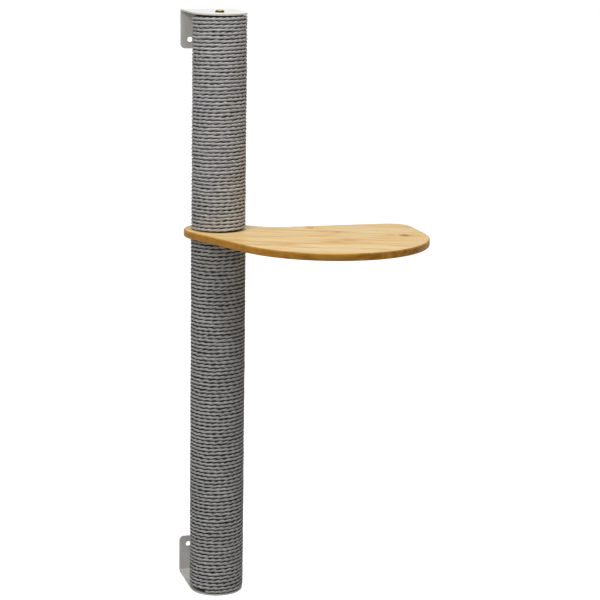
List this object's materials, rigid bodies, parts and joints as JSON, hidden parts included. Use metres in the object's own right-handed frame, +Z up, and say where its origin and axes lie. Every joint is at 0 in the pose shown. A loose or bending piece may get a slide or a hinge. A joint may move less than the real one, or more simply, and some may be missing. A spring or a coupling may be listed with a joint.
{
  "type": "wall mounted cat tree",
  "caption": "Rope-wound scratching post held off the wall by bent steel brackets, with a rounded bamboo shelf clamped part-way up it on a stud.",
  "frame": {"origin": "on the wall, midway between the lower bracket's two wall holes", "axes": "+Z up along the post, +Y into the wall, +X to the right along the wall, on the side to which the shelf reaches"},
  "size_m": [0.3835, 0.35, 0.9919],
  "materials": {
    "white_powder_coat": "off-white powder coat, fine texture",
    "yellow_zinc": "yellow zinc plate",
    "bright_zinc": "bright zinc plate",
    "grey_rope": "twisted grey rope",
    "core_card": "dark wound card tube",
    "plug_board": "pressed particle board",
    "bamboo": "laminated bamboo, satin lacquer"
  },
  "bodies": {
    "post": {"wall_bracket_lower": "white_powder_coat", "wall_bracket_upper": "white_powder_coat", "bracket_bolt_lower": "yellow_zinc", "bracket_bolt_upper": "yellow_zinc", "core_tube_lower": "core_card", "core_tube_upper": "core_card", "end_plug_lower_foot": "plug_board", "end_plug_lower_head": "plug_board", "end_plug_upper_foot": "plug_board", "end_plug_upper_head": "plug_board", "tee_nuts_lower": "bright_zinc", "tee_nuts_upper": "bright_zinc", "plug_staples_lower_foot": "bright_zinc", "plug_staples_lower_head": "bright_zinc", "plug_staples_upper_foot": "bright_zinc", "plug_staples_upper_head": "bright_zinc", "rope_winding_lower": "grey_rope", "rope_winding_upper": "grey_rope", "shelf_stud": "bright_zinc"},
    "shelf": {"shelf_board": "bamboo"}
  },
  "joints": [
    {"name": "shelf_swivel", "type": "hinge", "parent": "post", "child": "shelf", "pos_m": [0, -0.091, 0.57155], "axis": [0, 0, 1], "range_deg": [-126, 18]}
  ]
}
